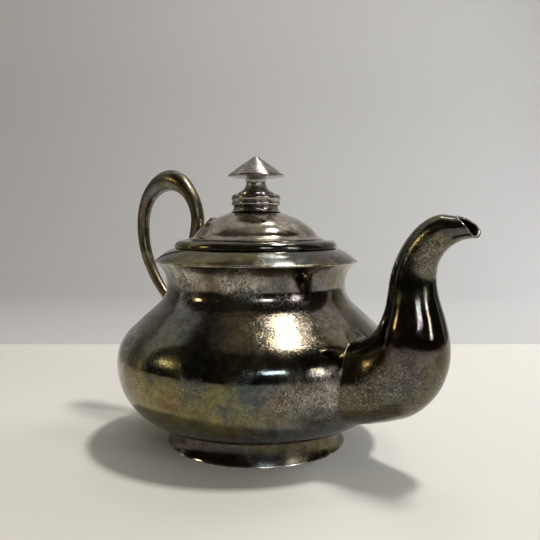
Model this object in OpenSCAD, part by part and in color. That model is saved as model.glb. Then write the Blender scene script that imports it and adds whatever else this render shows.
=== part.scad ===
// Silver teapot with a hinged, domed lid, an S-shaped spout and a loop handle.
// Millimetres. +Z is up and the spout points along +X.
// The origin is the centre of the foot's underside.

/* [Belly] */
// Widest radius of the belly
belly_r = 57; // [54:0.5:60]
// Height of the widest point
belly_z = 34; // [32:0.5:36]
// Height of the flat bottom above the table
floor_z = 8.7; // [8:0.1:9.5]
// Radius of the flat bottom
floor_r = 34; // [32:0.5:35]
// Radius of the round that closes the belly at the top
upper_round = 18; // [17:0.5:19]
// Sheet thickness of the pot
wall = 1.0; // [0.8:0.1:1.2]

/* [Neck and shoulder] */
// Narrowest radius of the neck
neck_r = 36.7; // [36.3:0.1:37]
// Height of the narrowest point
neck_z = 65.2; // [64.5:0.1:66]
// Round between belly and neck
neck_round = 11; // [10:0.5:12]
// Round of the flare above the neck
flare_round = 12; // [11.8:0.1:12.4]
// Height of the rim, where the shoulder is soldered on
rim_z = 74.4; // [74:0.1:74.6]
// Radius of the half-round rim wire
rim_wire_r = 0.5; // [0.4:0.05:0.7]
// Height of the cone's flat top, which carries the lid's seat
cone_z = 79.7; // [79.6:0.05:79.8]
// Outer radius of the seat's rolled edge
roll_edge_r = 33.4; // [33.3:0.05:33.45]
// Radius of the opening that the lid closes
opening_r = 24.7; // [24.6:0.05:24.8]

/* [Foot] */
// Radius of the foot on the table
foot_r = 37.1; // [36.5:0.1:38]
// Radius of the foot where it meets the belly
foot_top_r = 34.9; // [34.5:0.1:35.5]
// Thickness of the foot strip
foot_wall = 1.1; // [0.9:0.1:1.4]
// Direction of the lapped seam
seam_angle = -46; // [-90:1:0]

/* [Lid] */
// Outer radius of the lid's edge
lid_r = 27.5; // [27.3:0.05:27.6]
// Height of the flat pad under the finial
pad_z = 94.7; // [94.5:0.1:95]
// Thickness of the lid sheet
lid_wall = 0.9; // [0.7:0.1:1]
// Outer radius of the flange that drops into the opening
bezel_r = 23.9; // [23.8:0.05:24.1]
// Diameter of the vent hole
vent_d = 1.95; // [1.5:0.05:2.4]

/* [Finial] */
// Radius of the cap's edge
cap_r = 11.6; // [11:0.1:12]
// Height of the cap's tip
tip_z = 117.3; // [116.8:0.1:118]
// Radius of the threaded stud
stud_r = 1.4; // [1.2:0.05:1.5]

/* [Hinge] */
// Distance of the hinge axis behind the pot's axis
hinge_back = 26.8; // [26.7:0.05:26.9]
// Height of the hinge axis
hinge_z = 85.4; // [85.35:0.05:85.5]
// Radius of the knuckles
knuckle_r = 1.8; // [1.7:0.05:1.85]
// Radius of the hinge pin
pin_r = 0.8; // [0.7:0.05:0.9]
// Half the length of the knuckle barrel
barrel_half = 6.4; // [6.2:0.1:6.6]

/* [Spout and handle] */
// Sheet thickness of the spout
spout_wall = 0.9; // [0.7:0.1:1.1]
// Diameter of the strainer holes behind the spout
strainer_d = 1.6; // [1.2:0.1:1.8]
// Spacing of the strainer holes
strainer_pitch = 3.4; // [3:0.1:3.8]

/* [Hidden] */
$fn = 96;
silver = [0.70, 0.68, 0.62];
dark_silver = [0.52, 0.50, 0.44];

// Belly and neck: centres of the four rounds, and the slope of the straight between two of them
low_c = [floor_r, belly_z];
low_round = [belly_r - floor_r, belly_z - floor_z];
up_c = [belly_r - upper_round, belly_z];
neck_c = [neck_r + neck_round, neck_z];
flare_c = [neck_r + flare_round, neck_z];
gap = neck_c - up_c;
slope = atan2(gap[1], gap[0]) - acos((upper_round + neck_round) / norm(gap));
rim_r = flare_c[0] - sqrt(pow(flare_round, 2) - pow(rim_z - neck_z, 2));

// Strainer: height of the middle row of holes, and the number of holes in each row
strainer_z = 26.5;
strainer_rows = [3, 4, 3];

// Foot: how far the end of the strip stands out at the seam, and how far it laps over the start
lap = 0.45;
lap_arc = 27;
lap_steps = 3;

// Seat of the lid: rolled edge, flat ring and turned-down collar
roll_r = 2.5;
roll_c = [roll_edge_r - roll_r, cone_z + 0.85];
ring_z = 83.4;
seat_wall = 0.9;
collar_foot_z = 80.6;

// Lid: edge and flange
lid_edge_z = ring_z + 0.02;
bezel_foot_z = 81;
bezel_top_z = 84.6;
bezel_wall = 0.8;

// Finial: heights where its pieces meet
stem_z = 101.9;
cap_z = 108.35;
stud_bore = stud_r + 0.05;
washer_t = 0.8;
nut_t = 1.9;
stud_foot_z = 90.2;
stud_top_z = 112;
blind_z = 112.3;

// Vent hole: direction, distance from the axis, height and lean
vent_angle = -39.3;
vent_out = 19;
vent_z = 90.8;
vent_tilt = 32;

// Hinge: knuckle split and bore
split = 2.4;
knuckle_gap = 0.15;
pin_clear = 0.05;
leaf_half = 7;
notch_foot_z = 82;

// Plane of the spout's mouth: its rear and front lips
mouth_back = [88.55, 92.5];
mouth_front = [94.55, 86];
// Radius of the hollow cut across the mouth, which leaves its sides longer than its lips
mouth_round = 10;
// Air hole in the crest of the spout: place along X and radius
air_x = 84;
air_r = 0.9;

// Spout sections: [inner edge x, z, outer edge x, z, half width]
spout_sections = [
    [40, 51.5, 40, 15, 19],
    [47, 51, 47.5, 14.8, 19],
    [51, 48.2, 53.5, 16.6, 17.9],
    [54, 48.4, 60, 18.2, 16],
    [56.4, 49.8, 67, 20.5, 14.4],
    [58.2, 51.2, 73.5, 23.4, 13.6],
    [59.6, 52.7, 79, 28.2, 13.2],
    [60.7, 54.2, 83.3, 34.6, 12.9],
    [61.7, 56, 85.6, 42.4, 12.6],
    [62.7, 58.4, 85.5, 49.6, 11.8],
    [63.6, 61.5, 83.9, 57, 10.3],
    [64.2, 66, 81.4, 65, 8.8],
    [65, 72, 80.6, 71.4, 7.8],
    [67, 78.2, 81.3, 76.2, 7.1],
    [70.8, 84.8, 83, 79.4, 6.5],
    [76, 90.2, 85.4, 81.9, 5.8],
    [81.8, 93, 88, 83.6, 5.2],
    [88.5, 92.6, 91.5, 84.9, 5],
    [97, 93.1, 97.5, 85.7, 4.7]];

// Handle path: [x, z, radius of the section]
handle_path = [
    [-38.6, 74.5, 2.9],
    [-37.5, 80, 3],
    [-35.8, 86, 3],
    [-35.1, 92, 3],
    [-36.8, 98.3, 3.05],
    [-40.8, 103.9, 3.4],
    [-46.4, 108.1, 4.3],
    [-52.9, 109.7, 4.8],
    [-59.5, 108.6, 4.4],
    [-65.6, 105.3, 3.8],
    [-70.1, 100.5, 3.3],
    [-72.8, 94, 3],
    [-73.4, 87, 2.9],
    [-72.6, 80.4, 2.8],
    [-70.5, 74, 2.7],
    [-67.3, 68.1, 2.55],
    [-63.3, 62.6, 2.4],
    [-58.4, 57.4, 2.2],
    [-52.2, 51.7, 2.2],
    [-46, 46.6, 2.3]];

// ---------- outlines ----------

// Points on an arc, without its first one
function arc(c, r, a0, a1, n) = oval_arc(c, [r, r], a0, a1, n);

// The same on an oval with a half width and a half height
function oval_arc(c, half, a0, a1, n) =
    [for (i = [1:n]) let (a = a0 + (a1 - a0) * i / n) c + [half[0] * cos(a), half[1] * sin(a)]];

// Points on a curve from p0 to p2 that leans towards p1, without its first one
function bow(p0, p1, p2, n) =
    [for (i = [1:n]) let (t = i / n) pow(1 - t, 2) * p0 + 2 * t * (1 - t) * p1 + t * t * p2];

function reversed(list) = [for (i = [len(list) - 1:-1:0]) list[i]];

// Lower belly from the middle of the floor up to the widest line, moved inwards by t
function bowl_outline(t) = concat(
    [[0, floor_z + t], [low_c[0], floor_z + t]],
    oval_arc(low_c, low_round - [t, t], -90, 0, 24));

// Upper belly and neck from the widest line up to the rim, moved inwards by t
function upper_outline(t) = concat(
    [[belly_r - t, belly_z]],
    arc(up_c, upper_round - t, 0, slope, 14),
    [neck_c - (neck_round + t) * [cos(slope), sin(slope)]],
    arc(neck_c, neck_round + t, 180 + slope, 180, 12),
    arc(flare_c, flare_round + t, 180, 180 - asin((rim_z - neck_z) / (flare_round + t)), 12));

// Cone of the shoulder, from the rim up to the seat
cone_outline = concat(
    [[rim_r, rim_z], [rim_r, 75.2]],
    bow([rim_r, 75.2], [38.2, 77.9], [34, cone_z], 10));

// Seat of the lid, from the opening out over the flat ring and the rolled edge
seat_outline = concat(
    [[opening_r, ring_z - 0.4], [opening_r + 0.4, ring_z], [28.2, ring_z], roll_c + [0, roll_r]],
    arc(roll_c, roll_r, 90, 0, 10),
    [[roll_edge_r, cone_z + 0.5], [roll_edge_r - 0.5, cone_z]]);

// Lid from the middle of the pad out over the dome to the flared edge
lid_outline = concat(
    [[0, pad_z], [9.4, pad_z]],
    bow([9.4, pad_z], [21.4, 90.9], [24.6, 85.9], 16),
    bow([24.6, 85.9], [25.4, 84.3], [lid_r - 0.2, ring_z + 0.5], 6),
    [[lid_r, ring_z + 0.35], [lid_r, lid_edge_z]]);

// Underside of the lid sheet, in the same order
lid_under = concat(
    [[0, pad_z - lid_wall], [9.2, pad_z - lid_wall]],
    bow([9.2, pad_z - lid_wall], [20.7, 90.2], [23.7, 85.6], 16),
    [[24.2, 84.3], [25, lid_edge_z]]);

// ---------- swept tubes ----------

// Smooth blend of four rows a, b, c, d at t between b and c
function blend(a, b, c, d, t) =
    0.5 * (2 * b + (c - a) * t + (2 * a - 5 * b + 4 * c - d) * t * t
        + (3 * b - a - 3 * c + d) * t * t * t);

function smooth_rows(rows, steps) =
    let (last = len(rows) - 1)
    concat([for (i = [0:last - 1], k = [0:steps - 1])
        blend(rows[max(i - 1, 0)], rows[i], rows[i + 1], rows[min(i + 2, last)], k / steps)],
        [rows[last]]);

// Closed skin over rings that all have the same number of points
module skin(rings) {
    n = len(rings[0]);
    last = len(rings) - 1;
    points = [for (ring = rings, p = ring) p];
    sides = [for (i = [0:last - 1], j = [0:n - 1])
        [i * n + j, i * n + (j + 1) % n, (i + 1) * n + (j + 1) % n, (i + 1) * n + j]];
    caps = [[for (j = [n - 1:-1:0]) j], [for (j = [0:n - 1]) last * n + j]];
    polyhedron(points, concat(sides, caps), convexity = 8);
}

// One oval ring of the spout, moved inwards by t
function spout_ring(row, t, n) =
    let (a = [row[0], row[1]], b = [row[2], row[3]], mid = (a + b) / 2)
    let (half = (b - a) / 2 * (1 - t / norm((b - a) / 2)), w = row[4] - t)
    [for (j = [0:n - 1]) let (q = 360 * j / n, p = mid + half * cos(q)) [p[0], -w * sin(q), p[1]]];

module spout_solid(t, n) {
    skin([for (row = smooth_rows(spout_sections, 3)) spout_ring(row, t, n)]);
}

// One round ring of the handle, square to its path
function handle_ring(rows, i, n) =
    let (ahead = rows[min(i + 1, len(rows) - 1)], behind = rows[max(i - 1, 0)])
    let (run = [ahead[0] - behind[0], ahead[1] - behind[1]], side = [-run[1], run[0]] / norm(run))
    [for (j = [0:n - 1]) let (q = 360 * j / n, r = rows[i][2])
        [rows[i][0] + side[0] * r * cos(q), r * sin(q), rows[i][1] + side[1] * r * cos(q)]];

// ---------- solids that the pieces are cut by ----------

module revolve(points) {
    rotate_extrude() polygon(points);
}

module pot_solid() {
    revolve(concat(bowl_outline(0), upper_outline(0), [[0, rim_z]]));
}

module shoulder_solid() {
    revolve(concat([[0, rim_z]], cone_outline, [[0, cone_z]]));
}

module seat_solid() {
    revolve(concat(seat_outline, [[opening_r, cone_z]]));
}

module lid_solid() {
    revolve(concat(lid_outline, [[0, lid_edge_z]]));
}

// A plate drawn in X and Z, as wide as from y0 to y1
module plate_y(points, y0, y1) {
    translate([0, y1, 0]) rotate([90, 0, 0]) linear_extrude(y1 - y0) polygon(points);
}

module rod_y(r, y0, y1) {
    translate([-hinge_back, y1, hinge_z]) rotate([90, 0, 0]) cylinder(r = r, h = y1 - y0, $fn = 48);
}

// ---------- the pot ----------

// Spun lower half of the belly, with the strainer holes pierced behind the spout
module bowl() {
    color(silver)
    difference() {
        revolve(concat(bowl_outline(0), reversed(bowl_outline(wall))));
        for (row = [0:2], k = [0:strainer_rows[row] - 1])
            translate([belly_r - 16, strainer_pitch * (k - (strainer_rows[row] - 1) / 2),
                strainer_z + strainer_pitch * (row - 1) * sin(60)])
            rotate([0, 90, 0]) cylinder(d = strainer_d, h = 24, $fn = 32);
    }
}

// Spun upper half of the belly with the neck, soldered to the bowl along the widest line
module upper_body() {
    color(silver)
    revolve(concat(upper_outline(0), reversed(upper_outline(wall))));
}

// Outer face of the splayed foot strip, from the belly down to the table
foot_outline = concat([[foot_top_r, floor_z + 1]],
    bow([foot_top_r, floor_z + 1], [foot_top_r + 0.6, 2.6], [foot_r, 0], 8));

// A strip of the foot's thickness behind an outline
module foot_strip(outline) {
    polygon(concat(outline, reversed([for (p = outline) p - [foot_wall, 0]])));
}

// Foot strip bent to a ring. Its end laps over the start, and fades into the ring in small steps.
module foot_ring() {
    above = [for (i = [0:len(foot_outline) - 2]) foot_outline[i]];
    color(silver)
    difference() {
        union() {
            rotate_extrude() foot_strip(foot_outline);
            for (k = [1:lap_steps])
                rotate([0, 0, seam_angle])
                rotate_extrude(angle = lap_arc * k / lap_steps)
                translate([lap * (lap_steps + 1 - k) / lap_steps, 0]) foot_strip(above);
        }
        pot_solid();
    }
}

// Half-round wire that covers the joint between neck and shoulder
module rim_wire() {
    color(silver)
    revolve(concat([[rim_r, rim_z - rim_wire_r + 0.3]],
        arc([rim_r, rim_z + 0.3], rim_wire_r, -90, 90, 12)));
}

// Cone that closes the neck, with a flat inner flange on top
module shoulder() {
    color(silver)
    revolve(concat(cone_outline,
        [[30, cone_z], [30, cone_z - 0.9], [33.5, cone_z - 0.9]],
        bow([33.5, cone_z - 0.9], [37.7, 77.1], [rim_r - 0.7, rim_z], 10)));
}

// Stepped ring on the cone: rolled edge, flat seat and a collar turned down into the opening
module lid_seat() {
    color(silver)
    revolve(concat(seat_outline,
        [[roll_edge_r - 1.4, cone_z]],
        reversed(arc(roll_c, roll_r - seat_wall, 80, 0, 8)),
        [[28.2, ring_z - seat_wall], [opening_r + 0.8, ring_z - seat_wall],
         [opening_r + 0.8, collar_foot_z], [opening_r, collar_foot_z]]));
}

// Hollow S-shaped spout, cut to the belly, with an oblique mouth and an air hole behind it
module spout() {
    lean = atan2(mouth_back[1] - mouth_front[1], mouth_front[0] - mouth_back[0]);
    color(silver)
    difference() {
        spout_solid(0, 32);
        spout_solid(spout_wall, 32);
        pot_solid();
        translate([mouth_back[0], 0, mouth_back[1]]) rotate([0, lean, 0]) {
            translate([-12, 0, mouth_round]) rotate([0, 90, 0]) cylinder(r = mouth_round, h = 40);
            translate([-12, -15, mouth_round]) cube([40, 30, 30]);
        }
        translate([air_x, 0, mouth_back[1] - 2.5]) cylinder(r = air_r, h = 8, $fn = 24);
    }
}

// Cast loop handle, cut to the shoulder, the belly and the rim wire
module handle() {
    rows = smooth_rows(handle_path, 3);
    color(silver)
    difference() {
        skin([for (i = [0:len(rows) - 1]) handle_ring(rows, i, 20)]);
        pot_solid();
        shoulder_solid();
        revolve(arc([rim_r, rim_z + 0.3], rim_wire_r + 0.05, 0, 360, 24));
    }
}

// Plate on the seat behind the lid, with the two outer knuckles
module hinge_plate() {
    web = [[-hinge_back, hinge_z], [-hinge_back - 0.9, 83], [-31.4, 83], [-31.4, 83.7], [-30.6, 84.2],
        [-hinge_back - knuckle_r, hinge_z]];
    strip = [[-29.4, 83], [-31.4, 83], [-31.4, 83.7], [-30.6, 84.2], [-29.4, 84.2]];
    color(dark_silver)
    difference() {
        union() {
            plate_y(strip, -barrel_half, barrel_half);
            for (side = [-1, 1])
                scale([1, side, 1]) {
                    rod_y(knuckle_r, split + knuckle_gap, barrel_half);
                    plate_y(web, split + knuckle_gap, barrel_half);
                }
        }
        rod_y(pin_r + pin_clear, -barrel_half - 1, barrel_half + 1);
        seat_solid();
    }
}

// Pin through all the knuckles, with a riveted head at each end
module hinge_pin() {
    color(dark_silver)
    union() {
        rod_y(pin_r, -barrel_half - 0.2, barrel_half + 0.2);
        rod_y(pin_r + 0.45, barrel_half, barrel_half + 0.4);
        rod_y(pin_r + 0.45, -barrel_half - 0.4, -barrel_half);
    }
}

// ---------- the lid ----------

// Domed lid, drilled for the stud and the vent and notched for the outer knuckles
module lid_shell() {
    color(silver)
    difference() {
        revolve(concat(lid_outline, reversed(lid_under)));
        for (side = [-1, 1])
            scale([1, side, 1])
            translate([-hinge_back - 3, split, notch_foot_z])
            cube([knuckle_r + 3, barrel_half - split + 0.6, hinge_z - notch_foot_z]);
        translate([-hinge_back - 3, -split - 0.1, notch_foot_z])
            cube([3.3, 2 * split + 0.2, hinge_z - notch_foot_z]);
        translate([0, 0, pad_z - 3]) cylinder(r = stud_r + 0.2, h = 6, $fn = 32);
        rotate([0, 0, vent_angle]) translate([vent_out, 0, vent_z]) rotate([0, vent_tilt, 0])
            cylinder(d = vent_d, h = 6, center = true, $fn = 24);
    }
}

// Flange under the lid that keeps it centred in the opening
module lid_bezel() {
    color(silver)
    difference() {
        revolve([[bezel_r - bezel_wall, bezel_foot_z], [bezel_r, bezel_foot_z],
            [bezel_r, bezel_top_z], [bezel_r - bezel_wall, bezel_top_z + 1.4]]);
        revolve(concat(lid_under, [[25, 90], [0, 100]]));
    }
}

// Flat leaf on the back of the dome, with the middle knuckle
module hinge_leaf() {
    leaf = [[-25.6, 84.6], [-26.8, 86], [-25.9, 87.6], [-19.6, 92.3], [-18.9, 91.4], [-20, 88],
        [-22, 84.6]];
    tongue = [[-hinge_back, hinge_z + knuckle_r], [-25.9, 87.6], [-22, 86], [-24, 83.6],
        [-hinge_back, hinge_z - knuckle_r + 0.05]];
    color(dark_silver)
    difference() {
        union() {
            rod_y(knuckle_r, -split, split);
            plate_y(tongue, -split, split);
            plate_y(leaf, -leaf_half, leaf_half);
        }
        rod_y(pin_r + pin_clear, -split - 1, split + 1);
        for (side = [-1, 1])
            scale([1, side, 1]) rod_y(knuckle_r + 0.2, split, leaf_half + 1);
        lid_solid();
    }
}

// Turned foot of the finial: a small plinth and two beads
module finial_base() {
    color(silver)
    revolve(concat(
        [[stud_bore, pad_z], [10.5, pad_z]],
        bow([10.5, pad_z], [9.4, 95], [9.3, 95.9], 5),
        [[9.3, 96.6], [8.9, 97]],
        arc([8.9, 98.15], 1.15, -70, 50, 10),
        arc([8.5, 100.3], 1.6, -40, 72, 10),
        [[8.2, stem_z], [stud_bore, stem_z]]));
}

// Waisted neck of the finial, with a skirt below
module finial_stem() {
    color(silver)
    revolve(concat(
        [[stud_bore, stem_z], [7.5, stem_z], [7.4, 102.45]],
        bow([7.4, 102.45], [4.3, 103.9], [4.05, 106.2], 8),
        bow([4.05, 106.2], [4.0, 107.9], [4.8, cap_z], 6),
        [[stud_bore, cap_z]]));
}

// Low conical cap with a rounded edge and a blind bore for the stud
module finial_cap() {
    color(silver)
    revolve(concat(
        [[stud_bore, cap_z], [5.9, cap_z], [cap_r - 0.6, 108.95]],
        bow([cap_r - 0.6, 108.95], [cap_r + 0.25, 109.15], [cap_r - 0.25, 109.85], 5),
        bow([cap_r - 0.25, 109.85], [7.6, 112.75], [2, 116.5], 10),
        bow([2, 116.5], [0.9, tip_z], [0, tip_z], 5),
        [[0, blind_z], [stud_bore, blind_z]]));
}

// Stud that ties the finial to the lid
module finial_stud() {
    color(dark_silver)
    translate([0, 0, stud_foot_z]) cylinder(r = stud_r, h = stud_top_z - stud_foot_z, $fn = 32);
}

module finial_washer() {
    color(dark_silver)
    translate([0, 0, pad_z - lid_wall - washer_t])
    difference() {
        cylinder(r = 4.2, h = washer_t, $fn = 48);
        translate([0, 0, -1]) cylinder(r = stud_bore, h = 3, $fn = 32);
    }
}

module finial_nut() {
    color(dark_silver)
    translate([0, 0, pad_z - lid_wall - washer_t - nut_t])
    difference() {
        cylinder(r = 3, h = nut_t, $fn = 6);
        translate([0, 0, -1]) cylinder(r = stud_bore, h = 4, $fn = 32);
    }
}

bowl();
upper_body();
foot_ring();
rim_wire();
shoulder();
lid_seat();
spout();
handle();
hinge_plate();
hinge_pin();
lid_shell();
lid_bezel();
hinge_leaf();
finial_base();
finial_stem();
finial_cap();
finial_stud();
finial_washer();
finial_nut();
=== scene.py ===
"""Looks of the silver teapot: spun and swept pieces, tarnished silver, a pale table, soft light."""

import math

import bmesh
import bpy
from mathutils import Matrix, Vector


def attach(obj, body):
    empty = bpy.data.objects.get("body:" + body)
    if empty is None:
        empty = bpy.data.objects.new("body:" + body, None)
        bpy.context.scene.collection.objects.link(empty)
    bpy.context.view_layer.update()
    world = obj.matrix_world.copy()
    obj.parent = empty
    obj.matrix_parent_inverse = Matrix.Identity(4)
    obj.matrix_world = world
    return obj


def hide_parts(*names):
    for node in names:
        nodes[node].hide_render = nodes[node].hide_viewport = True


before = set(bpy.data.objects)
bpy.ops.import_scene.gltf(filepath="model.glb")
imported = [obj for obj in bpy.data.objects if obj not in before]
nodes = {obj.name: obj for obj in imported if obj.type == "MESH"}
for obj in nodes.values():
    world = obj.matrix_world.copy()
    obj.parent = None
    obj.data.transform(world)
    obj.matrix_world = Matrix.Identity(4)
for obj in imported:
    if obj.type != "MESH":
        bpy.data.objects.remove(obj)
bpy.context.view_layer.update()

MM = 0.001
SHARP = 38  # edges that turn by more degrees than this stay sharp


# ---------- outlines, in millimetres as (radius, height) ----------


def oval_arc(centre, half, start, end, count):
    """Points on an oval's arc from start to end degrees, without the first one."""
    turns = [math.radians(start + (end - start) * i / count) for i in range(1, count + 1)]
    return [(centre[0] + half[0] * math.cos(a), centre[1] + half[1] * math.sin(a)) for a in turns]


def arc(centre, radius, start, end, count):
    return oval_arc(centre, (radius, radius), start, end, count)


def bow(p0, p1, p2, count):
    """Points on a curve from p0 to p2 that leans towards p1, without the first one."""
    points = []
    for i in range(1, count + 1):
        t = i / count
        a, b, c = (1 - t) ** 2, 2 * t * (1 - t), t * t
        points.append((a * p0[0] + b * p1[0] + c * p2[0], a * p0[1] + b * p1[1] + c * p2[1]))
    return points


# Belly and neck: the same rounds as the CAD part
WALL = 1.0
FLOOR_Z = 8.7
LOW_C, LOW_ROUND = (34, 34), (23, 25.3)
UP_C, UP_ROUND = (39, 34), 18
NECK_C, NECK_ROUND = (47.7, 65.2), 11
FLARE_C, FLARE_ROUND = (48.7, 65.2), 12
RIM_Z = 74.4
RIM_R = FLARE_C[0] - math.sqrt(FLARE_ROUND**2 - (RIM_Z - FLARE_C[1]) ** 2)
GAP = (NECK_C[0] - UP_C[0], NECK_C[1] - UP_C[1])
SLOPE = math.degrees(
    math.atan2(GAP[1], GAP[0]) - math.acos((UP_ROUND + NECK_ROUND) / math.hypot(*GAP))
)


def belly_outline(inset):
    """Belly and neck from the middle of the floor up to the rim, moved inwards by inset."""
    lean = math.radians(SLOPE)
    neck_start = (
        NECK_C[0] - (NECK_ROUND + inset) * math.cos(lean),
        NECK_C[1] - (NECK_ROUND + inset) * math.sin(lean),
    )
    top = 180 - math.degrees(math.asin((RIM_Z - FLARE_C[1]) / (FLARE_ROUND + inset)))
    return [
        (0, FLOOR_Z + inset),
        (LOW_C[0] / 2, FLOOR_Z + inset),
        (LOW_C[0], FLOOR_Z + inset),
        *oval_arc(LOW_C, (LOW_ROUND[0] - inset, LOW_ROUND[1] - inset), -90, 0, 48),
        *arc(UP_C, UP_ROUND - inset, 0, SLOPE, 28),
        neck_start,
        *arc(NECK_C, NECK_ROUND + inset, 180 + SLOPE, 180, 24),
        *arc(FLARE_C, FLARE_ROUND + inset, 180, top, 24),
    ]


# Shoulder: the cone between rim and seat
CONE_Z = 79.7
SHEET = 0.9
CONE = [(RIM_R, RIM_Z), (RIM_R, 75.2), *bow((RIM_R, 75.2), (38.2, 77.9), (34, CONE_Z), 24)]

# Seat of the lid: rolled edge, flat ring and collar
ROLL_C, ROLL_R = (30.9, CONE_Z + 0.85), 2.5
RING_Z = 83.4
OPENING_R = 24.7
COLLAR_FOOT_Z, COLLAR_WALL = 80.6, 0.8
SEAT = [
    (OPENING_R, RING_Z - 0.4),
    (OPENING_R + 0.4, RING_Z),
    (28.2, RING_Z),
    (ROLL_C[0], ROLL_C[1] + ROLL_R),
    *arc(ROLL_C, ROLL_R, 90, 0, 20),
    (ROLL_C[0] + ROLL_R, CONE_Z + 0.5),
    (ROLL_C[0] + ROLL_R - 0.5, CONE_Z),
]

# Lid: dome with a flared edge
PAD_Z = 94.7
LID_WALL = 0.9
LID_R = 27.5
STUD_HOLE = 1.6
LID_EDGE_Z = RING_Z + 0.02
LID_TOP = [
    (9.4, PAD_Z),
    *bow((9.4, PAD_Z), (21.4, 90.9), (24.6, 85.9), 32),
    *bow((24.6, 85.9), (25.4, 84.3), (LID_R - 0.2, RING_Z + 0.5), 12),
    (LID_R, RING_Z + 0.35),
    (LID_R, LID_EDGE_Z),
]
LID_UNDER = [
    (9.2, PAD_Z - LID_WALL),
    *bow((9.2, PAD_Z - LID_WALL), (20.7, 90.2), (23.7, 85.6), 32),
    (24.2, 84.3),
    (25, LID_EDGE_Z),
]
VENT_ANGLE, VENT_OUT, VENT_Z, VENT_LEAN, VENT_R, VENT_HALF = -39.3, 19, 90.8, 32, 0.975, 3
BEZEL_R, BEZEL_WALL, BEZEL_FOOT_Z, BEZEL_TOP_Z = 23.9, 0.8, 81, 84.6

# Hinge
HINGE_X, HINGE_Z = -26.8, 85.4
BARREL_HALF, SPLIT = 6.4, 2.4
NOTCH_FOOT_Z, NOTCH_REACH, NOTCH_GAP = 82, 3, 0.1
LEAF_NOTCH, KNUCKLE_NOTCH, NOTCH_END = 0.3, 1.8, 0.6

# Finial
STEM_Z, CAP_Z, TIP_Z, CAP_R = 101.9, 108.35, 117.3, 11.6
STUD_BORE = 1.45

# Foot
FOOT_R, FOOT_TOP_R, FOOT_WALL = 37.1, 34.9, 1.1
SEAM_ANGLE, LAP, LAP_ARC, LAP_STEP = -46, 0.45, 27, 0.0001

# Strainer behind the spout
STRAINER_Z, HOLE_PITCH, HOLE_R, HOLE_ROWS = 26.5, 3.4, 0.8, (3, 4, 3)
HOLE_START_X, HOLE_END_X = 41, 65

# How far spout and handle reach into the belly's wall
ROOT_DEPTH = 0.25

# Spout: (inner edge x, z, outer edge x, z, half width). The rows were worked out from discs fitted to the
# photograph, and then moved to match it. They should be curves instead.
SPOUT_WALL = 0.9
SPOUT_STEPS, SPOUT_AROUND = 8, 96
AIR_X, AIR_LOW_Z, AIR_HIGH_Z, AIR_R = 84, 90, 98, 0.9
LIP_R, SPOUT_SEAM_R, HANDLE_SEAM_R = 0.36, 0.2, 0.45
MOUTH_BACK, MOUTH_FRONT, MOUTH_ROUND = (88.55, 92.5), (94.55, 86), 10
SPOUT_SECTIONS = [
    (40, 51.5, 40, 15, 19),
    (47, 51, 47.5, 14.8, 19),
    (51, 48.2, 53.5, 16.6, 17.9),
    (54, 48.4, 60, 18.2, 16),
    (56.4, 49.8, 67, 20.5, 14.4),
    (58.2, 51.2, 73.5, 23.4, 13.6),
    (59.6, 52.7, 79, 28.2, 13.2),
    (60.7, 54.2, 83.3, 34.6, 12.9),
    (61.7, 56, 85.6, 42.4, 12.6),
    (62.7, 58.4, 85.5, 49.6, 11.8),
    (63.6, 61.5, 83.9, 57, 10.3),
    (64.2, 66, 81.4, 65, 8.8),
    (65, 72, 80.6, 71.4, 7.8),
    (67, 78.2, 81.3, 76.2, 7.1),
    (70.8, 84.8, 83, 79.4, 6.5),
    (76, 90.2, 85.4, 81.9, 5.8),
    (81.8, 93, 88, 83.6, 5.2),
    (88.5, 92.6, 91.5, 84.9, 5),
    (97, 93.1, 97.5, 85.7, 4.7),
]

# Handle: (x, z, radius of the section). Most rows were fitted to the photograph and then rounded.
# They should be arcs instead.
HANDLE_STEPS, HANDLE_AROUND = 6, 48
HANDLE_PATH = [
    (-38.6, 74.5, 2.9),
    (-37.5, 80, 3),
    (-35.8, 86, 3),
    (-35.1, 92, 3),
    (-36.8, 98.3, 3.05),
    (-40.8, 103.9, 3.4),
    (-46.4, 108.1, 4.3),
    (-52.9, 109.7, 4.8),
    (-59.5, 108.6, 4.4),
    (-65.6, 105.3, 3.8),
    (-70.1, 100.5, 3.3),
    (-72.8, 94, 3),
    (-73.37, 87, 2.9),
    (-72.6, 80.4, 2.8),
    (-70.5, 74, 2.7),
    (-67.3, 68.1, 2.55),
    (-63.3, 62.6, 2.4),
    (-58.4, 57.4, 2.2),
    (-52.2, 51.7, 2.2),
    (-46, 46.6, 2.3),
]


# ---------- meshes ----------


def build(name, points, faces, sharp=SHARP):
    """A smooth-shaded object from points in millimetres, with edges above sharp degrees kept sharp."""
    mesh = bpy.data.meshes.new(name)
    mesh.from_pydata([[c * MM for c in p] for p in points], [], faces)
    shape = bmesh.new()
    shape.from_mesh(mesh)
    bmesh.ops.recalc_face_normals(shape, faces=shape.faces)
    shape.to_mesh(mesh)
    shape.free()
    mesh.shade_smooth()
    mesh.set_sharp_from_angle(angle=math.radians(sharp))
    piece = bpy.data.objects.new(name, mesh)
    bpy.context.scene.collection.objects.link(piece)
    return piece


def lathe(name, outline, around=192):
    """A closed outline of (radius, height) turned about the upright axis."""
    points, rings = [], []
    for r, z in outline:
        if r < 1e-6:
            rings.append([len(points)])
            points.append((0, 0, z))
            continue
        rings.append(list(range(len(points), len(points) + around)))
        turns = [2 * math.pi * j / around for j in range(around)]
        points += [(r * math.cos(a), r * math.sin(a), z) for a in turns]
    faces = []
    for low, high in zip(rings, rings[1:] + rings[:1]):
        for j in range(around):
            k = (j + 1) % around
            corners = [low[j % len(low)], low[k % len(low)], high[k % len(high)], high[j % len(high)]]
            corners = list(dict.fromkeys(corners))
            if len(corners) > 2:
                faces.append(corners)
    return build(name, points, faces)


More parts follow.
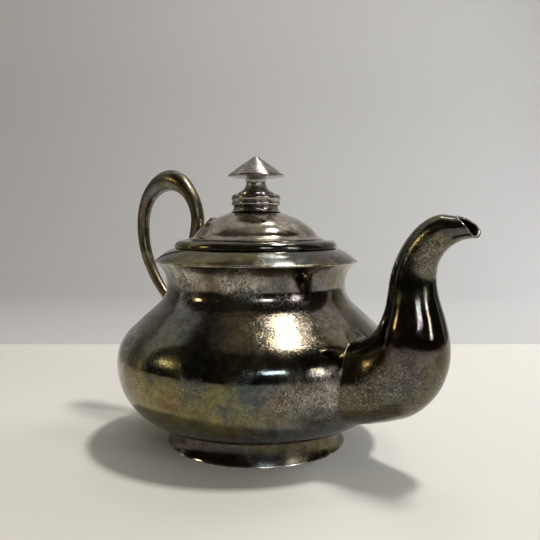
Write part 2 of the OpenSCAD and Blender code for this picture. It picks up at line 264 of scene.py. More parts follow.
def skin(name, rings, sharp=SHARP, loop=False):
    """A closed skin over rings of equal length, capped at both ends unless it runs in a loop."""
    n = len(rings[0])
    points = [p for ring in rings for p in ring]
    count = len(rings)
    faces = []
    for i in range(count if loop else count - 1):
        low, high = i * n, (i + 1) % count * n
        faces += [(low + j, low + (j + 1) % n, high + (j + 1) % n, high + j) for j in range(n)]
    if not loop:
        faces += [tuple(range(n - 1, -1, -1)), tuple(range((count - 1) * n, count * n))]
    return build(name, points, faces, sharp)


def cut(piece, *cutters):
    """Takes the cutters' shapes out of piece, and removes the cutters."""
    for cutter in cutters:
        difference = piece.modifiers.new("cut", "BOOLEAN")
        difference.operation = "DIFFERENCE"
        difference.solver = "MANIFOLD"
        difference.object = cutter
    bpy.context.view_layer.update()
    evaluated = piece.evaluated_get(bpy.context.evaluated_depsgraph_get())
    mesh = bpy.data.meshes.new_from_object(evaluated)
    piece.modifiers.clear()
    piece.data = mesh
    mesh.shade_smooth()
    mesh.set_sharp_from_angle(angle=math.radians(SHARP))
    even = piece.modifiers.new("even_shading", "WEIGHTED_NORMAL")
    even.keep_sharp = True
    for cutter in cutters:
        bpy.data.objects.remove(cutter)
    return piece


def block(low, high):
    """A plain box between two corners, used only as a cutter."""
    (x0, y0, z0), (x1, y1, z1) = low, high
    points = [(x, y, z) for x in (x0, x1) for y in (y0, y1) for z in (z0, z1)]
    faces = [(0, 1, 3, 2), (4, 6, 7, 5), (0, 4, 5, 1), (2, 3, 7, 6), (0, 2, 6, 4), (1, 5, 7, 3)]
    return build("cutter", points, faces)


def rod(start, end, radius, around=48):
    """A plain round bar between two points, used only as a cutter."""
    start, end = Vector(start), Vector(end)
    along = (end - start).normalized()
    side = along.orthogonal().normalized()
    over = along.cross(side)
    turns = [2 * math.pi * j / around for j in range(around)]
    spokes = [(side * math.cos(a) + over * math.sin(a)) * radius for a in turns]
    return skin("cutter", [[tuple(p + s) for s in spokes] for p in (start, end)])


def blend_rows(rows, steps):
    """Rows with steps times as many, joined by smooth curves."""
    out = []
    for i in range(len(rows) - 1):
        a, b, c, d = (rows[min(max(k, 0), len(rows) - 1)] for k in (i - 1, i, i + 1, i + 2))
        for k in range(steps):
            t = k / steps
            out.append(
                tuple(
                    0.5
                    * (
                        2 * q
                        + (r - p) * t
                        + (2 * p - 5 * q + 4 * r - s) * t * t
                        + (3 * q - p - 3 * r + s) * t**3
                    )
                    for p, q, r, s in zip(a, b, c, d)
                )
            )
    return out + [rows[-1]]


def spout_ring(row, inset):
    """The oval section of one row, moved inwards by inset."""
    x0, z0, x1, z1, width = row
    mid = ((x0 + x1) / 2, (z0 + z1) / 2)
    half = ((x1 - x0) / 2, (z1 - z0) / 2)
    keep = 1 - inset / math.hypot(*half)
    ring = []
    for j in range(SPOUT_AROUND):
        q = 2 * math.pi * j / SPOUT_AROUND
        ring.append(
            (
                mid[0] + half[0] * keep * math.cos(q),
                -(width - inset) * math.sin(q),
                mid[1] + half[1] * keep * math.cos(q),
            )
        )
    return ring


def spout_rings(inset):
    return [spout_ring(row, inset) for row in blend_rows(SPOUT_SECTIONS, SPOUT_STEPS)]


def handle_ring(rows, i):
    """The round section of row i, square to the path."""
    ahead, behind = rows[min(i + 1, len(rows) - 1)], rows[max(i - 1, 0)]
    run = (ahead[0] - behind[0], ahead[1] - behind[1])
    length = math.hypot(*run)
    side = (-run[1] / length, run[0] / length)
    x, z, r = rows[i]
    turns = [2 * math.pi * j / HANDLE_AROUND for j in range(HANDLE_AROUND)]
    return [
        (x + side[0] * r * math.cos(q), r * math.sin(q), z + side[1] * r * math.cos(q)) for q in turns
    ]


def bead(name, path, radius, around=10):
    """A thin line of solder along a closed path."""
    rings = []
    count = len(path)
    for i, p in enumerate(path):
        p = Vector(p)
        along = (Vector(path[(i + 1) % count]) - Vector(path[i - 1])).normalized()
        side = along.cross(Vector((0, 0, 1)))
        side = side.normalized() if side.length > 0.2 else along.cross(Vector((0, 1, 0))).normalized()
        over = along.cross(side)
        turns = [2 * math.pi * j / around for j in range(around)]
        rings.append([tuple(p + (side * math.cos(a) + over * math.sin(a)) * radius) for a in turns])
    return skin(name, rings, 180, loop=True)


def belly_radius(z):
    """Outer radius of belly and neck at height z."""
    outline = belly_outline(0)[2:]
    for (r0, z0), (r1, z1) in zip(outline, outline[1:]):
        if z0 <= z <= z1 and z1 > z0:
            return r0 + (r1 - r0) * (z - z0) / (z1 - z0)
    return 0.0


def leaving_points(rings):
    """For each point number round the rings, where that line of points leaves the belly."""
    path = []
    for j in range(len(rings[0])):
        line = [ring[j] for ring in rings]
        depth = [math.hypot(p[0], p[1]) - belly_radius(p[2]) for p in line]
        for i in range(len(line) - 1):
            if depth[i] < 0 <= depth[i + 1]:
                t = depth[i] / (depth[i] - depth[i + 1])
                path.append(tuple(a + (b - a) * t for a, b in zip(line[i], line[i + 1])))
                break
    return path


# ---------- pieces ----------


def pot_cutter(inset):
    """Cutter that fills the inside of the belly, moved inwards by inset."""
    return lathe("cutter", [*belly_outline(inset), (0, RIM_Z)])


def make_body():
    """Spun belly and neck, with the strainer holes behind the spout."""
    outline = [*belly_outline(0), *reversed(belly_outline(WALL))]
    body = lathe("belly_and_neck", outline, 256)
    holes = []
    for row, count in enumerate(HOLE_ROWS):
        z = STRAINER_Z + (row - 1) * HOLE_PITCH * math.sin(math.radians(60))
        for k in range(count):
            y = (k - (count - 1) / 2) * HOLE_PITCH
            holes.append(rod((HOLE_START_X, y, z), (HOLE_END_X, y, z), HOLE_R, 32))
    return cut(body, *holes)


def make_foot(around=384):
    """Splayed strip bent to a ring, whose end laps over its start at the seam."""
    side = [
        (FOOT_TOP_R, FLOOR_Z + 0.6),
        *bow((FOOT_TOP_R, FLOOR_Z + 0.6), (FOOT_TOP_R + 0.6, 2.6), (FOOT_R - 0.12, 0.12), 16),
        (FOOT_R - 0.12, 0.0),
    ]
    section = [*side, *[(r - FOOT_WALL + 0.2, z) for r, z in reversed(side)]]
    rings = []
    for j in range(around + 1):
        share = min(j / around, 1 - LAP_STEP)
        angle = math.radians(SEAM_ANGLE + 360 * share)
        lift = LAP * max(0.0, 1 - 360 * share / LAP_ARC)
        rings.append(
            [
                (
                    (r + (lift if k < len(side) else 0)) * math.cos(angle),
                    (r + (lift if k < len(side) else 0)) * math.sin(angle),
                    z,
                )
                for k, (r, z) in enumerate(section)
            ]
        )
    return skin("foot_strip", rings, 35, loop=True)


def make_rim():
    edge = [
        (RIM_R - 0.4, RIM_Z - 0.2),
        (RIM_R, RIM_Z - 0.2),
        *arc((RIM_R, RIM_Z + 0.3), 0.5, -90, 90, 16),
        (RIM_R - 0.4, RIM_Z + 0.8),
    ]
    return lathe("rim_bead", edge, 256)


def make_shoulder():
    under = bow((33.5, CONE_Z - SHEET), (37.7, 77.1), (RIM_R - 0.7, RIM_Z), 24)
    outline = [*CONE, (30, CONE_Z), (30, CONE_Z - SHEET), (33.5, CONE_Z - SHEET), *under]
    return lathe("shoulder_cone", outline, 256)


def make_seat():
    under = [
        (ROLL_C[0] + 1.1, CONE_Z),
        *reversed(arc(ROLL_C, ROLL_R - SHEET, 80, 0, 12)),
        (28.2, RING_Z - SHEET),
        (OPENING_R + COLLAR_WALL, RING_Z - SHEET),
        (OPENING_R + COLLAR_WALL, COLLAR_FOOT_Z),
        (OPENING_R, COLLAR_FOOT_Z),
    ]
    return lathe("lid_seat_ring", [*SEAT, *under], 256)


def mouth_curve():
    """Centre and direction of the round bar that cuts the oblique mouth."""
    back, front = Vector((MOUTH_BACK[0], 0, MOUTH_BACK[1])), Vector((MOUTH_FRONT[0], 0, MOUTH_FRONT[1]))
    along = (front - back).normalized()
    return back + Vector((-along.z, 0, along.x)) * MOUTH_ROUND, along


def mouth_depth(point, centre, along):
    """How far a point is outside the bar that cuts the mouth; less than 0 inside it."""
    offset = point - centre
    return (offset - along * offset.dot(along)).length - MOUTH_ROUND


def make_spout():
    """Hollow tapering spout, cut off by the belly, with its mouth and air hole."""
    spout = skin("spout_tube", spout_rings(0))
    hollow = skin("cutter", spout_rings(SPOUT_WALL))
    centre, along = mouth_curve()
    mouth = rod(centre - along * 12, centre + along * 28, MOUTH_ROUND, 160)
    air = rod((AIR_X, 0, AIR_LOW_Z), (AIR_X, 0, AIR_HIGH_Z), AIR_R, 32)
    return cut(spout, hollow, pot_cutter(ROOT_DEPTH), mouth, air)


def make_mouth_lip():
    """Thin rounded wire along the middle of the wall, round the oblique mouth."""
    rings = spout_rings(SPOUT_WALL / 2)
    centre, along = mouth_curve()
    path = []
    for j in range(SPOUT_AROUND):
        line = [Vector(ring[j]) for ring in rings]
        gaps = [mouth_depth(p, centre, along) for p in line]
        for i in range(len(line) // 2, len(line) - 1):
            if gaps[i] > 0 >= gaps[i + 1]:
                t = gaps[i] / (gaps[i] - gaps[i + 1])
                path.append(tuple(line[i].lerp(line[i + 1], t)))
                break
    return bead("mouth_lip", path, LIP_R)


def make_spout_seam():
    return bead("spout_seam", leaving_points(spout_rings(0)), SPOUT_SEAM_R)


def make_handle():
    """Solid loop, cut off by the belly and the shoulder."""
    rows = blend_rows(HANDLE_PATH, HANDLE_STEPS)
    handle = skin("handle_loop", [handle_ring(rows, i) for i in range(len(rows))])
    cone = lathe("cutter", [(0, RIM_Z), *[(r - 0.2, z - 0.2) for r, z in CONE], (0, CONE_Z - 0.2)])
    return cut(handle, pot_cutter(ROOT_DEPTH), cone)


def make_handle_seam():
    """Solder line at the handle's lower root, which is the path's last half."""
    rows = blend_rows(HANDLE_PATH, HANDLE_STEPS)[::-1]
    rings = [handle_ring(rows, i) for i in range(len(rows) // 2)]
    return bead("handle_seam", leaving_points(rings), HANDLE_SEAM_R)


def notch(y0, y1, depth):
    """Cutter for a notch in the lid's edge from y0 to y1, up to the hinge's axis in height."""
    low = (HINGE_X - NOTCH_REACH, y0, NOTCH_FOOT_Z)
    return block(low, (HINGE_X + depth, y1, HINGE_Z))


def make_lid():
    """Domed lid with the stud's hole, the vent and the two notches for the hinge."""
    outline = [(STUD_HOLE, PAD_Z), *LID_TOP, *reversed(LID_UNDER), (STUD_HOLE, PAD_Z - LID_WALL)]
    lid = lathe("lid_dome", outline, 256)
    turn, lean = math.radians(VENT_ANGLE), math.radians(VENT_LEAN)
    vent = Vector((VENT_OUT * math.cos(turn), VENT_OUT * math.sin(turn), VENT_Z))
    up = Vector((math.sin(lean) * math.cos(turn), math.sin(lean) * math.sin(turn), math.cos(lean)))
    cutters = [
        rod(vent - up * VENT_HALF, vent + up * VENT_HALF, VENT_R, 32),
        notch(-SPLIT - NOTCH_GAP, SPLIT + NOTCH_GAP, LEAF_NOTCH),
        notch(-BARREL_HALF - NOTCH_END, -SPLIT, KNUCKLE_NOTCH),
        notch(SPLIT, BARREL_HALF + NOTCH_END, KNUCKLE_NOTCH),
    ]
    return cut(lid, *cutters)


def make_bezel():
    wall = [
        (BEZEL_R - BEZEL_WALL, BEZEL_FOOT_Z),
        (BEZEL_R, BEZEL_FOOT_Z),
        (BEZEL_R, BEZEL_TOP_Z + 0.3),
        (BEZEL_R - BEZEL_WALL, BEZEL_TOP_Z + 1.4),
    ]
    return lathe("lid_flange", wall)


def make_finial_base():
    outline = [
        (STUD_BORE, PAD_Z),
        (10.5, PAD_Z),
        *bow((10.5, PAD_Z), (9.4, 95), (9.3, 95.9), 8),
        (9.3, 96.6),
        (8.9, 97),
        *arc((8.9, 98.15), 1.15, -70, 50, 20),
        *arc((8.5, 100.3), 1.6, -40, 72, 20),
        (8.2, STEM_Z),
        (STUD_BORE, STEM_Z),
    ]
    return lathe("finial_beads", outline, 128)


def make_finial_stem():
    outline = [
        (STUD_BORE, STEM_Z),
        (7.5, STEM_Z),
        (7.4, 102.45),
        *bow((7.4, 102.45), (4.3, 103.9), (4.05, 106.2), 16),
        *bow((4.05, 106.2), (4.0, 107.9), (4.8, CAP_Z), 12),
        (STUD_BORE, CAP_Z),
    ]
    return lathe("finial_waist", outline, 128)


def make_finial_cap():
    outline = [
        (STUD_BORE, CAP_Z),
        (5.9, CAP_Z),
        (CAP_R - 0.6, 108.95),
        *bow((CAP_R - 0.6, 108.95), (CAP_R + 0.25, 109.15), (CAP_R - 0.25, 109.85), 12),
        *bow((CAP_R - 0.25, 109.85), (7.6, 112.75), (2, 116.5), 24),
        *bow((2, 116.5), (0.9, TIP_Z), (0, TIP_Z), 12),
        (0, 112.3),
        (STUD_BORE, 112.3),
    ]
    return lathe("finial_top", outline, 128)


# ---------- materials ----------


class Graph:
    """A material's node tree, with short calls for the nodes that the finishes use."""

    def __init__(self, name):
        self.material = bpy.data.materials.new(name)
        self.material.use_nodes = True
        self.tree = self.material.node_tree
        self.shader = self.tree.nodes["Principled BSDF"]
        self.place = self.tree.nodes.new("ShaderNodeTexCoord").outputs["Object"]

    def set(self, socket, value):
        if isinstance(value, bpy.types.NodeSocket):
            self.tree.links.new(value, socket)
        else:
            socket.default_value = value

    def node(self, kind, inputs, **settings):
        made = self.tree.nodes.new(kind)
        for key, value in settings.items():
            setattr(made, key, value)
        for key, value in inputs.items():
            self.set(made.inputs[key], value)
        return made

    def noise(self, size, detail=3.0, rough=0.55, distort=0.0, shift=0.0, stretch=(1, 1, 1)):
        """Noise whose features are about size millimetres across."""
        moved = self.node(
            "ShaderNodeMapping",
            {"Vector": self.place, "Location": (shift, shift * 0.7, -shift), "Scale": stretch},
        )
        inputs = {
            "Vector": moved.outputs["Vector"],
            "Scale": 1 / (size * MM),
            "Detail": detail,
            "Roughness": rough,
            "Distortion": distort,
        }
        return self.node("ShaderNodeTexNoise", inputs).outputs["Fac"]

    def step(self, value, low, high, out_low=0.0, out_high=1.0):
        """value spread smoothly from out_low at low to out_high at high."""
        inputs = {"Value": value, 1: low, 2: high, 3: out_low, 4: out_high}
        made = self.node("ShaderNodeMapRange", inputs, interpolation_type="SMOOTHSTEP", clamp=True)
        return made.outputs["Result"]

    def math(self, operation, a, b=0.0):
        return self.node("ShaderNodeMath", {0: a, 1: b}, operation=operation).outputs[0]

    def product(self, value, *factors):
        for factor in factors:
            value = self.math("MULTIPLY", value, factor)
        return value

    def mix(self, share, a, b):
        made = self.node("ShaderNodeMix", {"Factor": share}, data_type="RGBA")
        self.set(made.inputs[6], a)
        self.set(made.inputs[7], b)
        return made.outputs[2]

    def near(self, centre, reach, soft):
        """1 within reach millimetres of a point, falling to 0 over soft more."""
        gap = self.node(
            "ShaderNodeVectorMath",
            {0: self.place, 1: tuple(c * MM for c in centre)},
            operation="DISTANCE",
        ).outputs["Value"]
        return self.step(gap, reach * MM, (reach + soft) * MM, 1.0, 0.0)

    def height(self):
        return self.node("ShaderNodeSeparateXYZ", {"Vector": self.place}).outputs["Z"]


OLIVE = (0.185, 0.162, 0.078, 1)
BROWN = (0.150, 0.118, 0.078, 1)
SLATE = (0.118, 0.128, 0.118, 1)
PLUM = (0.120, 0.094, 0.092, 1)
PALE = (0.60, 0.55, 0.49, 1)
SOOT = (0.028, 0.024, 0.018, 1)
# pale colour for rubbed wear and for painted highlight lines along edges
WEAR_AND_HIGHLIGHT = (0.80, 0.76, 0.68, 1)


def silver(name, shift, tone, speckle, worn, gloss, film, hues=None, **marks):
    """Tarnished silver. tone scales the film's brightness; speckle and worn go from 0 to 1; gloss and
    film are the least roughness and what is added where the tarnish is thick; hues are the film's four
    colours. marks are spots, stains and patches of painted shade as (colour, (x, y, z), reach, share);
    pitted, places with dense specks as ((x, y, z), reach, share); edges, heights of pale bands that
    are rubbed wear and painted highlight lines, as (low, high)."""
    g = Graph(name)
    broad = g.noise(30, 4, 0.6, 0.6, shift)
    hue = g.noise(15, 5, 0.62, 1.2, shift + 3)
    first, second, third, fourth = hues or (OLIVE, BROWN, SLATE, PLUM)
    warm = g.mix(g.step(hue, 0.40, 0.60), first, second)
    cool = g.mix(g.step(hue, 0.43, 0.62), third, fourth)
    film_colour = g.mix(g.step(broad, 0.44, 0.60), warm, cool)
    for colour, centre, reach, share in marks.get("spots", ()):
        spot = g.near(centre, reach * 0.4, reach * 0.9)
        torn = g.step(g.noise(6, 5, 0.65, 0.8, shift + reach), 0.30, 0.56)
        film_colour = g.mix(g.product(spot, torn, share), film_colour, colour)
    cloud = g.step(g.noise(5, 6, 0.72, 0.6, shift + 5), 0.32, 0.68, 0.62 * tone, 1.38 * tone)
    shaded = g.node("ShaderNodeVectorMath", {0: film_colour, "Scale": cloud}, operation="SCALE")
    colour = shaded.outputs["Vector"]

    rub = g.noise(12, 6, 0.68, 0.8, shift + 7)
    worn_mask = g.step(rub, 0.70 - 0.30 * worn, 0.80 - 0.24 * worn)
    flake = g.step(g.noise(0.9, 6, 0.78, 0.0, shift + 9), 0.40, 0.54, 0.25, 1.0)
    worn_mask = g.product(worn_mask, flake)
    colour = g.mix(g.product(worn_mask, 0.35 + 0.6 * worn), colour, PALE)

    dense = g.step(g.noise(14, 4, 0.6, 0.5, shift + 17), 0.46, 0.66, 0.05, 0.55)
    for centre, reach, share in marks.get("pitted", ()):
        torn = g.step(g.noise(5, 5, 0.7, 0.8, shift + 50 + reach), 0.34, 0.56, 0.2, 1.0)
        patch = g.product(g.near(centre, reach * 0.5, reach * 0.8), torn, share)
        dense = g.math("MAXIMUM", dense, patch)
    grain = g.noise(0.72, 4, 0.72, 0.0, shift + 23)
    dots = g.step(grain, 0.56 - 0.08 * speckle, 0.64 - 0.08 * speckle)
    dots = g.product(dots, dense, min(1.0, 0.35 + speckle * 0.6))
    colour = g.mix(dots, colour, SOOT)
    blotches = g.step(g.noise(2.4, 5, 0.75, 0.3, shift + 33), 0.47, 0.57, 0.0, 0.7)
    colour = g.mix(g.product(blotches, dense), colour, SOOT)
    light_dots = g.step(g.noise(0.62, 4, 0.72, 0.0, shift + 29), 0.50, 0.60)
    light_dots = g.product(light_dots, dense, 0.62 * speckle)
    colour = g.mix(light_dots, colour, PALE)

    z = g.height()
    # pale bands at the given heights: rubbed wear, and painted highlight lines along the edges
    for low, high in marks.get("edges", ()):
        mid, half = (low + high) / 2, (high - low) / 2
        away = g.math("ABSOLUTE", g.math("SUBTRACT", z, mid * MM))
        band = g.step(away, half * 0.6 * MM, half * MM, 1.0, 0.0)
        band = g.product(band, g.step(rub, 0.35, 0.6, 0.25, 0.9))
        colour = g.mix(band, colour, WEAR_AND_HIGHLIGHT)
    g.set(g.shader.inputs["Base Color"], colour)

    haze = g.step(g.noise(20, 4, 0.6, 0.4, shift + 31), 0.42, 0.64, gloss, gloss + film)
    haze = g.math("ADD", haze, g.product(dense, 0.16))
    rough = g.math("ADD", haze, g.product(dots, 0.16))
    rough = g.math("ADD", rough, g.product(g.math("MAXIMUM", worn_mask, light_dots), 0.14))
    g.set(g.shader.inputs["Roughness"], rough)
    g.shader.inputs["Metallic"].default_value = 1.0

    dents = g.noise(11, 2, 0.5, 0.0, shift + 37)
    soft = g.node("ShaderNodeBump", {"Strength": 1.0, "Distance": 0.00013, "Height": dents})
    pits = g.math("SUBTRACT", grain, g.product(dots, 0.8))
    fine = g.node(
        "ShaderNodeBump",
        {"Strength": 0.6, "Distance": 0.00002, "Height": pits, "Normal": soft.outputs["Normal"]},
    )
    scratch = g.noise(0.9, 3, 0.6, 0.0, shift + 41, (1, 0.06, 1))
    lines = g.node(
        "ShaderNodeBump",
        {"Strength": 0.4, "Distance": 0.000007, "Height": scratch, "Normal": fine.outputs["Normal"]},
    )
    g.set(g.shader.inputs["Normal"], lines.outputs["Normal"])
    return g.material


def plain(name, colour, spread, size):
    """A matt surface whose brightness varies a little."""
    g = Graph(name)
    low = tuple(c * (1 - spread) for c in colour) + (1,)
    high = tuple(min(1.0, c * (1 + spread)) for c in colour) + (1,)
    g.set(g.shader.inputs["Base Color"], g.mix(g.noise(size, 4, 0.6), low, high))
    g.shader.inputs["Roughness"].default_value = 0.75
    return g.material


def finish_node(name, material, bevel=0.12):
    """Gives a CAD node its finish, and softens its edges."""
    piece = nodes[name]
    for slot in piece.material_slots:
        slot.material = material
    if not piece.material_slots:
        piece.data.materials.append(material)
    weld = piece.modifiers.new("weld", "WELD")
    weld.merge_threshold = 0.002 * MM
    soft = piece.modifiers.new("soft_edges", "BEVEL")
    soft.width = bevel * MM
    soft.segments = 2
    soft.limit_method = "ANGLE"
    soft.angle_limit = math.radians(35)


def place(piece, material, body, slot, *replaced):
    piece.data.materials.clear()
    piece.data.materials.append(material)
    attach(piece, body)
    if replaced:
        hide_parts(*replaced)


DEEP_BLUE = (0.060, 0.085, 0.105, 1)
GOLD = (0.26, 0.205, 0.075, 1)
RUST = (0.17, 0.095, 0.055, 1)
GREEN = (0.070, 0.078, 0.048, 1)
ASH = (0.36, 0.335, 0.295, 1)
GREY = (0.20, 0.195, 0.175, 1)
LIGHT_ASH = (0.48, 0.445, 0.385, 1)
ROSE = (0.30, 0.25, 0.225, 1)
DARK = (0.050, 0.046, 0.044, 1)
DEEP_PLUM = (0.125, 0.088, 0.085, 1)
MOSS = (0.175, 0.165, 0.070, 1)

# Centres of the stains, and of the patch of painted shade marked below, in millimetres, on the surface:
# found by tracing places in the photograph through the camera that was fitted to it
belly_spots = [
    (GREY, (-24, -40, 53), 19, 0.9),
    (SLATE, (5, -46, 53), 14, 0.8),
    (ROSE, (42, -6, 55), 12, 0.8),
    (MOSS, (5, -57, 29), 24, 0.9),
    (GOLD, (-4, -56, 30), 13, 0.6),
    (GOLD, (14, -54, 25), 10, 0.5),
    (DEEP_BLUE, (22, -53, 38), 8, 0.85),
    (DEEP_BLUE, (2, -57, 38), 7, 0.6),
    (RUST, (8, -55, 27), 6, 0.7),
    (RUST, (-14, -54, 34), 5, 0.6),
    (DEEP_BLUE, (18, -54, 31), 4, 0.7),
    (MOSS, (30, -47, 27), 17, 0.9),
    (GOLD, (28, -47, 22), 9, 0.5),
    (DEEP_BLUE, (38, -43, 34), 9, 0.8),
    (DEEP_BLUE, (30, -48, 25), 5, 0.6),
    (BROWN, (45, -35, 27), 9, 0.6),
    (PALE, (52, -22, 31), 9, 0.45),
    (LIGHT_ASH, (-28, -47, 43), 12, 0.9),
    (PALE, (-24, -49, 42), 8, 0.8),
    (LIGHT_ASH, (20, -31, 69), 10, 0.9),
    (LIGHT_ASH, (-2, -37, 69), 10, 0.9),
    (ASH, (34, -12, 69), 7, 0.5),
    # painted shade: a dark patch that hides the spout_strip lamp's reflection on the belly
    (DARK, (49, -27, 40), 8, 0.95),
    (DARK, (22, -50, 44), 13, 0.6),
]
belly_pitted = [
    ((-22, -50, 43), 9, 1.0),
    ((-24, -40, 54), 14, 0.6),
    ((20, -31, 69), 10, 1.0),
    ((-4, -37, 69), 10, 1.0),
    ((36, -25, 55), 17, 0.9),
    ((52, -22, 30), 12, 0.9),
    ((46, -34, 30), 8, 0.9),
]
spout_spots = [
    (BROWN, (66, -13, 35), 14, 0.8),
    (SLATE, (80, -9, 36), 12, 0.6),
    (GREEN, (72, -7, 68), 22, 0.95),
    (DEEP_PLUM, (79, -10, 51), 14, 0.85),
    (ROSE, (80, -5, 79), 8, 0.35),
    (GOLD, (60, -12, 44), 9, 0.5),
]
spout_pitted = [((66, -13, 33), 14, 0.8), ((80, -5, 80), 9, 0.9)]
PINKISH = ((0.25, 0.225, 0.17, 1), (0.27, 0.23, 0.195, 1), (0.24, 0.23, 0.205, 1), (0.28, 0.245, 0.215, 1))
belly_silver = silver(
    "belly_silver", 0.0, 1.0, 0.85, 0.12, 0.055, 0.13, spots=belly_spots, pitted=belly_pitted
)
spout_silver = silver(
    "spout_silver", 5.3, 0.75, 0.7, 0.05, 0.055, 0.10, spots=spout_spots, pitted=spout_pitted
)
handle_silver = silver("handle_silver", 9.1, 1.0, 0.9, 0.45, 0.26, 0.12)
shoulder_silver = silver("shoulder_silver", 13.7, 1.05, 0.6, 0.2, 0.09, 0.12)
rim_silver = silver("rim_silver", 17.9, 1.9, 0.3, 0.9, 0.16, 0.1)
lid_silver = silver("lid_silver", 21.3, 1.45, 0.85, 0.7, 0.12, 0.12, PINKISH)
finial_silver = silver("finial_silver", 25.7, 1.2, 0.8, 0.7, 0.11, 0.12, PINKISH)
# the foot's pale bands at its top and bottom edges are rubbed wear and painted highlight lines
foot_silver = silver(
    "foot_silver", 29.9, 0.62, 0.6, 0.3, 0.10, 0.13, edges=[(-0.3, 0.6), (8.5, 9.7)]
)
solder_silver = silver("solder_silver", 33.1, 1.2, 0.8, 0.2, 0.2, 0.1)
lip_silver = silver("lip_silver", 41.9, 1.7, 0.2, 1.0, 0.16, 0.08)
hinge_silver = silver("hinge_silver", 37.7, 1.2, 0.7, 0.3, 0.2, 0.1)

place(make_body(), belly_silver, "pot", "silver", "bowl", "upper_body")
place(make_foot(), foot_silver, "pot", "silver", "foot_ring")
place(make_rim(), rim_silver, "pot", "silver", "rim_wire")
place(make_shoulder(), shoulder_silver, "pot", "silver", "shoulder")
place(make_seat(), shoulder_silver, "pot", "silver", "lid_seat")
place(make_spout(), spout_silver, "pot", "silver", "spout")
place(make_spout_seam(), solder_silver, "pot", "dark_silver")
place(make_mouth_lip(), lip_silver, "pot", "silver")
place(make_handle(), handle_silver, "pot", "silver", "handle")
place(make_handle_seam(), solder_silver, "pot", "dark_silver")
place(make_lid(), lid_silver, "lid", "silver", "lid_shell")
place(make_bezel(), lid_silver, "lid", "silver", "lid_bezel")
place(make_finial_base(), finial_silver, "lid", "silver", "finial_base")
place(make_finial_stem(), finial_silver, "lid", "silver", "finial_stem")
place(make_finial_cap(), finial_silver, "lid", "silver", "finial_cap")
for name in ("hinge_plate", "hinge_leaf", "finial_washer", "finial_nut"):
    finish_node(name, hinge_silver)
for name in ("hinge_pin", "finial_stud"):
    finish_node(name, hinge_silver, 0.08)


# ---------- table, backdrop, light and camera ----------

VIEW_AZIMUTH = math.radians(42)
TOWARDS = Vector((math.sin(VIEW_AZIMUTH), -math.cos(VIEW_AZIMUTH), 0))
RIGHT = Vector((math.cos(VIEW_AZIMUTH), math.sin(VIEW_AZIMUTH), 0))
UP = Vector((0, 0, 1))
TABLE_BACK = 0.217
TABLE_FRONT = 2.0
HALF_WIDTH = 2.5
SWEEP_FLAT = 0.55
SWEEP_ROUND = 0.30
SWEEP_TOP = 0.9


def stage_strip(name, profile, material):
    """A wide strip across the view, through points (distance towards the camera, height) in metres."""
    points = []
    for out, z in profile:
        points += [tuple(TOWARDS * out + RIGHT * side * HALF_WIDTH + UP * z) for side in (-1, 1)]
    faces = [(2 * i, 2 * i + 1, 2 * i + 3, 2 * i + 2) for i in range(len(profile) - 1)]
    mesh = bpy.data.meshes.new(name)
    mesh.from_pydata(points, [], faces)
    mesh.shade_smooth()
    made = bpy.data.objects.new(name, mesh)
    bpy.context.scene.collection.objects.link(made)
    made.data.materials.append(material)


table_white = plain("table_white", (0.70, 0.675, 0.625), 0.015, 120)
wall_grey = plain("wall_grey", (0.53, 0.52, 0.515), 0.015, 160)
bend = arc((-SWEEP_FLAT, SWEEP_ROUND), SWEEP_ROUND, -90, -180, 32)
stage_strip("table", [(TABLE_FRONT, 0), (-TABLE_BACK, 0)], table_white)
stage_strip(
    "backdrop",
    [(-TABLE_BACK, 0), (-SWEEP_FLAT, 0), *bend, (-SWEEP_FLAT - SWEEP_ROUND, SWEEP_TOP)],
    wall_grey,
)

POT_CENTRE = Vector((0, 0, 0.05))

# Room: colours by height, and the cosines of the angle from straight behind where the pale side starts
# and is full
ROOM_LOW, HIGH_WALL, ROOM_TOP = (0.030, 0.026, 0.020, 1), (0.050, 0.045, 0.036, 1), (0.30, 0.28, 0.24, 1)
HIGH_WALL_AT = 0.90
PALE_WALL, PALE_FROM, PALE_TO = (0.52, 0.50, 0.47, 1), 0.16, 0.28

# Camera: metres from the upright axis and above the table, degrees downwards, and millimetres
CAMERA_OUT, CAMERA_UP, CAMERA_DOWN = 0.28194, 0.09085, 4.10
SENSOR_WIDTH, FOCAL_LENGTH, CAMERA_SHIFT = 36, 45.39, 0.026


def lamp(name, azimuth, elevation, distance, width, height, power, colour, shiny=True):
    """A soft panel that faces the pot. azimuth is 0 on the camera's side and 90 on its right."""
    a, e = math.radians(azimuth), math.radians(elevation)
    out = (TOWARDS * math.cos(a) + RIGHT * math.sin(a)) * math.cos(e) + UP * math.sin(e)
    data = bpy.data.lights.new(name, "AREA")
    data.shape = "RECTANGLE"
    data.size, data.size_y = width, height
    data.energy = power
    data.color = colour
    made = bpy.data.objects.new(name, data)
    bpy.context.scene.collection.objects.link(made)
    made.location = POT_CENTRE + out * distance
    made.rotation_mode = "QUATERNION"
    made.rotation_quaternion = (-out).to_track_quat("-Z", "Y")
    made.visible_glossy = shiny
    made.visible_camera = False


lamp("overhead", 87, 73, 1.2, 0.19, 0.12, 9.2, (1.0, 0.985, 0.95))
lamp("window_strip", 14, 24, 1.5, 0.40, 0.15, 2.3, (0.76, 0.88, 1.0))
lamp("spout_strip", 50, 17, 1.5, 0.20, 0.40, 2.8, (1.0, 0.99, 0.97))
lamp("warm_lamp", -78, 21, 1.4, 0.15, 0.14, 1.2, (1.0, 0.80, 0.40))
lamp("back_light", 161, 66, 0.5, 0.09, 0.05, 0.15, (1.0, 0.99, 0.95))
lamp("room_fill", 20, 40, 1.6, 1.4, 1.4, 3.6, (1.0, 0.97, 0.91), shiny=False)
lamp("side_fill", 118, 20, 0.95, 0.4, 0.3, 4.2, (0.93, 0.96, 1.0), shiny=False)

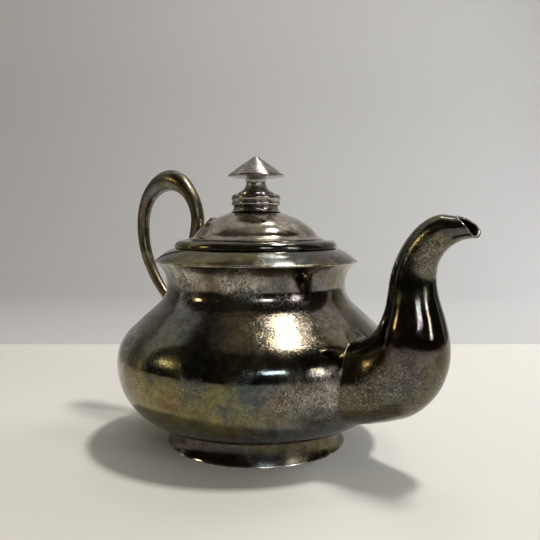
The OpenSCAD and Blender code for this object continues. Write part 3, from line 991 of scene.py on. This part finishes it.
def make_room():
    """Surroundings for the reflections: a dark room, paler on the side behind the pot."""
    world = bpy.data.worlds.new("room")
    bpy.context.scene.world = world
    world.use_nodes = True
    tree = world.node_tree
    direction = tree.nodes.new("ShaderNodeTexCoord").outputs["Generated"]
    split = tree.nodes.new("ShaderNodeSeparateXYZ")
    tree.links.new(direction, split.inputs[0])
    ramp = tree.nodes.new("ShaderNodeValToRGB")
    tree.links.new(split.outputs["Z"], ramp.inputs["Fac"])
    ramp.color_ramp.elements[0].position = 0.0
    ramp.color_ramp.elements[0].color = ROOM_LOW
    ramp.color_ramp.elements[1].position = 1.0
    ramp.color_ramp.elements[1].color = ROOM_TOP
    ramp.color_ramp.elements.new(HIGH_WALL_AT).color = HIGH_WALL
    behind = tree.nodes.new("ShaderNodeVectorMath")
    behind.operation = "DOT_PRODUCT"
    tree.links.new(direction, behind.inputs[0])
    behind.inputs[1].default_value = tuple(-TOWARDS)
    pale_side = tree.nodes.new("ShaderNodeMapRange")
    pale_side.interpolation_type = "SMOOTHSTEP"
    tree.links.new(behind.outputs["Value"], pale_side.inputs["Value"])
    pale_side.inputs["From Min"].default_value = PALE_FROM
    pale_side.inputs["From Max"].default_value = PALE_TO
    room = tree.nodes.new("ShaderNodeMix")
    room.data_type = "RGBA"
    tree.links.new(pale_side.outputs["Result"], room.inputs["Factor"])
    tree.links.new(ramp.outputs["Color"], room.inputs[6])
    room.inputs[7].default_value = PALE_WALL
    tree.links.new(room.outputs[2], tree.nodes["Background"].inputs["Color"])


def make_camera():
    """The camera that was fitted to the photograph, looking slightly down."""
    data = bpy.data.cameras.new("camera")
    made = bpy.data.objects.new("camera", data)
    bpy.context.scene.collection.objects.link(made)
    made.location = TOWARDS * CAMERA_OUT + UP * CAMERA_UP
    made.rotation_euler = (math.radians(90 - CAMERA_DOWN), 0, VIEW_AZIMUTH)
    data.sensor_width = SENSOR_WIDTH
    data.lens = FOCAL_LENGTH
    data.shift_x = CAMERA_SHIFT
    data.clip_start, data.clip_end = 0.01, 20
    bpy.context.scene.camera = made


make_room()
make_camera()
bpy.context.scene.view_settings.view_transform = "Standard"
